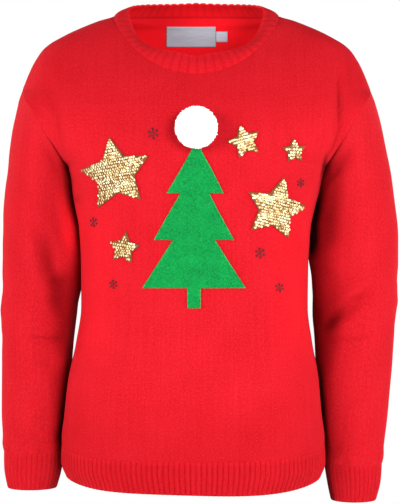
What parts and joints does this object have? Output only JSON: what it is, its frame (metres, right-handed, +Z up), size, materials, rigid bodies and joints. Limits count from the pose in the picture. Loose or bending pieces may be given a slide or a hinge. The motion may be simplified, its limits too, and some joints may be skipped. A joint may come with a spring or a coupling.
{
  "type": "christmas sweater",
  "caption": "Long-sleeved knitted crew-neck sweater with ribbed neck, cuffs and hem, and a terry fir tree, a yarn pompom and sequin stars on the chest, in the hollow form it has when worn",
  "frame": {"origin": "middle of the neck, at the height of the two shoulder neck points, where the wearer's shoulders hold the sweater up", "axes": "+Z up, along the sweater's length; the front faces -Y; +X towards the wearer's left"},
  "size_m": [0.5065, 0.247, 0.6355],
  "materials": {
    "red_knit": "matte, fine stocking stitch",
    "red_rib": "matte, ribbed",
    "green_terry": "looped pile",
    "gold_sequins": "metallised, shiny",
    "white_yarn": "fluffy",
    "grey_satin": "satin"
  },
  "bodies": {
    "root": {"front_panel": "red_knit", "back_panel": "red_knit", "left_sleeve": "red_knit", "right_sleeve": "red_knit", "front_hem_rib": "red_rib", "back_hem_rib": "red_rib", "left_cuff": "red_rib", "right_cuff": "red_rib", "neckband": "red_rib", "neck_label": "grey_satin", "size_tab": "grey_satin", "tree": "green_terry", "star_big": "gold_sequins", "star_mid": "gold_sequins", "star_small_a": "gold_sequins", "star_small_b": "gold_sequins", "star_small_c": "gold_sequins", "pompom": "white_yarn"}
  },
  "joints": []
}
